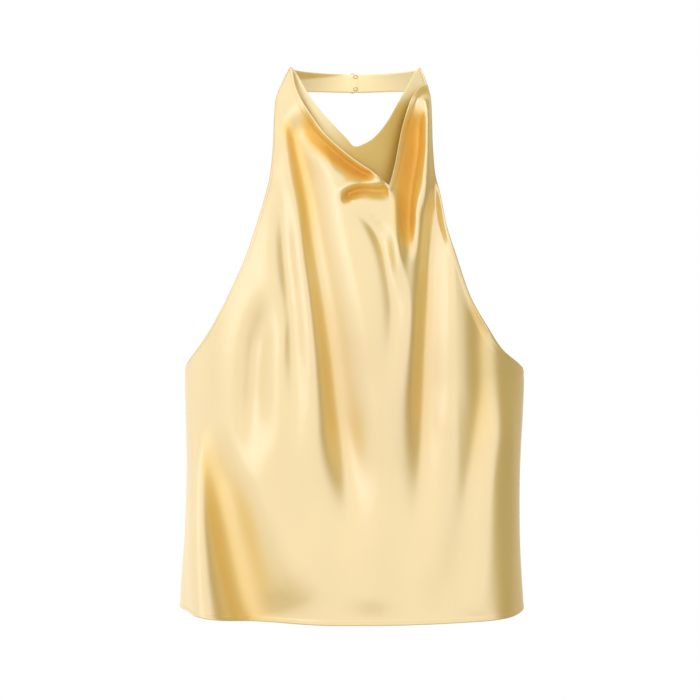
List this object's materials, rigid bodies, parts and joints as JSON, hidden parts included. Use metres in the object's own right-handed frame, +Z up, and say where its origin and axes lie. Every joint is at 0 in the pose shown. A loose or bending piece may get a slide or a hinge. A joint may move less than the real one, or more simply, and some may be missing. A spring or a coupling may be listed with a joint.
{
  "type": "halter neck top",
  "caption": "Sleeveless satin top in its worn hollow form, with a draped cowl neckline, an open back and a neck strap fastened by buttons and loops at the nape.",
  "frame": {"origin": "middle of the neck ring, at the height of the nape fastening, where the wearer's neck holds the top", "axes": "+X across the front towards the viewer's right, -Y is the front, +Z up"},
  "size_m": [0.3497, 0.2162, 0.5613],
  "materials": {
    "satin": "glossy satin face",
    "satin_reverse": "matte wrong side of satin",
    "covered_button": "satin-covered",
    "loop_cord": "satin cord"
  },
  "bodies": {
    "root": {"front_panel": "satin", "back_panel": "satin", "cowl_facing": "satin_reverse", "neck_strap_left": "satin", "neck_strap_right": "satin", "nape_button_upper": "covered_button", "nape_button_lower": "covered_button", "nape_loop_upper": "loop_cord", "nape_loop_lower": "loop_cord"}
  },
  "joints": []
}
